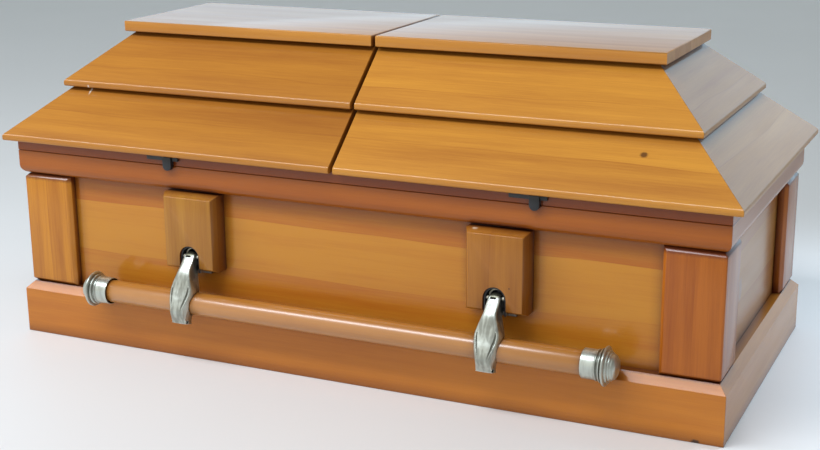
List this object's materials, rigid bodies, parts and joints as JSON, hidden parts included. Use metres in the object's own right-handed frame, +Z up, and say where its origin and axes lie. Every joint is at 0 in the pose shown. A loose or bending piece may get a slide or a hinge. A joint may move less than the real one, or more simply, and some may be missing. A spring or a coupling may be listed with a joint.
{
  "type": "coffin",
  "caption": "Wooden coffin with a stepped, hipped lid in two hinged halves, boxed corners, a wide plinth and a swing-bar handle on each long side.",
  "frame": {"origin": "centre of the footprint, on the floor under the plinth", "axes": "+X along the coffin to the end that is on the right seen from the front, -Y towards the front with the catches, +Z up"},
  "size_m": [1.28, 0.6798, 0.5442],
  "materials": {
    "honey_wood": "honey-orange stain under satin-gloss lacquer",
    "upright_wood": "honey-orange stain under satin-gloss lacquer, grain upright",
    "bar_wood": "honey stain under gloss lacquer",
    "pewter": "antique pewter, bright on the ridges and dark in the recesses",
    "black_metal": "black, worn to bare metal on the rim",
    "hinge_metal": "dull antique nickel"
  },
  "bodies": {
    "casket": {"bottom_board": "honey_wood", "plinth_front": "honey_wood", "box_wall_front": "honey_wood", "cap_rail_front": "honey_wood", "rim_strip_front": "honey_wood", "plinth_right": "honey_wood", "box_wall_right": "honey_wood", "cap_rail_right": "honey_wood", "rim_strip_right": "honey_wood", "plinth_back": "honey_wood", "box_wall_back": "honey_wood", "cap_rail_back": "honey_wood", "rim_strip_back": "honey_wood", "plinth_left": "honey_wood", "box_wall_left": "honey_wood", "cap_rail_left": "honey_wood", "rim_strip_left": "honey_wood", "corner_casing_front_left": "upright_wood", "corner_casing_back_left": "upright_wood", "corner_casing_front_right": "upright_wood", "corner_casing_back_right": "upright_wood", "rim_hinge_leaf_left": "hinge_metal", "rim_hinge_leaf_right": "hinge_metal", "handle_block_front_left": "upright_wood", "handle_lug_front_left": "black_metal", "handle_block_front_right": "upright_wood", "handle_lug_front_right": "black_metal", "handle_block_back_left": "upright_wood", "handle_lug_back_left": "black_metal", "handle_block_back_right": "upright_wood", "handle_lug_back_right": "black_metal"},
    "lid_left": {"lid_left_lower_front": "honey_wood", "lid_left_lower_end": "honey_wood", "lid_left_lower_back": "honey_wood", "lid_left_upper_front": "honey_wood", "lid_left_upper_end": "honey_wood", "lid_left_upper_back": "honey_wood", "lid_left_slab": "honey_wood", "lid_left_catch": "black_metal", "lid_left_hinge_leaf": "hinge_metal"},
    "lid_right": {"lid_right_lower_front": "honey_wood", "lid_right_lower_end": "honey_wood", "lid_right_lower_back": "honey_wood", "lid_right_upper_front": "honey_wood", "lid_right_upper_end": "honey_wood", "lid_right_upper_back": "honey_wood", "lid_right_slab": "honey_wood", "lid_right_catch": "black_metal", "lid_right_hinge_leaf": "hinge_metal"},
    "front_handle": {"handle_arm_front_left": "pewter", "bar_cap_front_left": "pewter", "handle_arm_front_right": "pewter", "bar_cap_front_right": "pewter", "handle_bar_front": "bar_wood"},
    "back_handle": {"handle_arm_back_left": "pewter", "bar_cap_back_left": "pewter", "handle_arm_back_right": "pewter", "bar_cap_back_right": "pewter", "handle_bar_back": "bar_wood"}
  },
  "joints": [
    {"name": "lid_left_hinge", "type": "hinge", "parent": "casket", "child": "lid_left", "pos_m": [0, 0.2815, 0.3455], "axis": [-1, 0, 0], "range_deg": [0, 95]},
    {"name": "lid_right_hinge", "type": "hinge", "parent": "casket", "child": "lid_right", "pos_m": [0, 0.2815, 0.3455], "axis": [-1, 0, 0], "range_deg": [0, 95]},
    {"name": "front_handle_swing", "type": "hinge", "parent": "casket", "child": "front_handle", "pos_m": [0, -0.281, 0.18], "axis": [-1, 0, 0], "range_deg": [0, 72]},
    {"name": "back_handle_swing", "type": "hinge", "parent": "casket", "child": "back_handle", "pos_m": [0, 0.281, 0.18], "axis": [1, 0, 0], "range_deg": [0, 72]}
  ]
}
